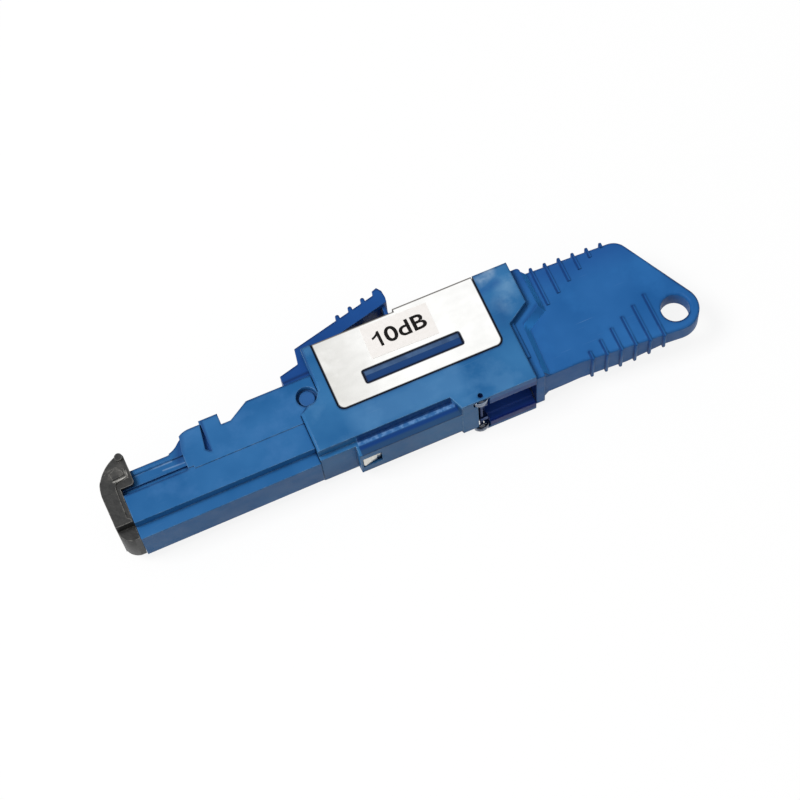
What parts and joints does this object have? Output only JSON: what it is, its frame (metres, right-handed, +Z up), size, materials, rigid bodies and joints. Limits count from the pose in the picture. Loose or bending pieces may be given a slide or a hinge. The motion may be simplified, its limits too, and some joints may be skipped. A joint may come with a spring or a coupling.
{
  "type": "fibre_attenuator",
  "caption": "Plug-and-socket fibre attenuator with shuttered nose, latch lever, metal side clip, shuttered socket and ribbed dust plug",
  "frame": {"origin": "Centre of the lower broad face's bounding box, on the plane the attenuator lies on", "axes": "+X from the nose to the handle, +Y from the rail to the lever, +Z up through the two broad sides"},
  "size_m": [0.078, 0.0212, 0.0096],
  "materials": {
    "blue_plastic": "fine satin moulding",
    "blue_gloss": "moulded, half gloss",
    "lever_blue": "moulded, half gloss",
    "dust_blue": "fine satin moulding",
    "clip_metal": "white satin nickel",
    "label_paper": "printed with a plain rating",
    "cast_grey": "cast, dark coated, worn at the edges",
    "nickel": "nickel plated",
    "steel": "ground pin",
    "spring_steel": "spring steel",
    "zirconia": "polished ceramic",
    "silica": "polished end faces",
    "black_plastic": "moulded"
  },
  "bodies": {
    "housing": {"plug_body": "blue_plastic", "rear_housing": "blue_gloss", "side_clip": "clip_metal", "rating_label": "label_paper", "lever_spring": "spring_steel", "front_shutter_pin": "steel", "front_shutter_spring": "spring_steel", "spring_retainer": "nickel", "ferrule_spring": "spring_steel", "sleeve_holder": "black_plastic", "sleeve_retainer": "black_plastic", "split_sleeve": "zirconia", "rear_shutter_pin": "nickel", "pin_clip_top": "nickel", "pin_clip_low": "nickel", "rear_shutter_spring": "spring_steel"},
    "cap": {"front_shutter": "cast_grey"},
    "lever": {"latch_lever": "lever_blue"},
    "flap": {"rear_shutter": "nickel"},
    "ferrule_group": {"ferrule": "zirconia", "doped_fibre": "silica", "ferrule_flange": "nickel"},
    "plug": {"dust_plug": "dust_blue"}
  },
  "joints": [
    {"name": "front_shutter_hinge", "type": "hinge", "parent": "housing", "child": "cap", "pos_m": [-0.0355, -0.00111, 0.0048], "axis": [0, 0, -1], "range_deg": [0, 88], "stiffness_Nm_per_rad": 0.002, "deforming": ["front_shutter_spring"]},
    {"name": "lever_press", "type": "hinge", "parent": "housing", "child": "lever", "pos_m": [-0.01114, -0.00031, 0.0048], "axis": [0, 0, -1], "range_deg": [0, 5], "stiffness_Nm_per_rad": 0.3, "deforming": ["lever_spring"]},
    {"name": "rear_shutter_hinge", "type": "hinge", "parent": "housing", "child": "flap", "pos_m": [0.0084, -0.00927, 0.0048], "axis": [0, 0, 1], "range_deg": [0, 88], "stiffness_Nm_per_rad": 0.001, "deforming": ["rear_shutter_spring"]},
    {"name": "ferrule_float", "type": "slide", "parent": "housing", "child": "ferrule_group", "axis": [1, 0, 0], "range_m": [0, 0.0005], "stiffness_N_per_m": 5000, "deforming": ["ferrule_spring"]},
    {"name": "dust_plug_pull", "type": "slide", "parent": "housing", "child": "plug", "axis": [1, 0, 0], "range_m": [0, 0.015]}
  ]
}
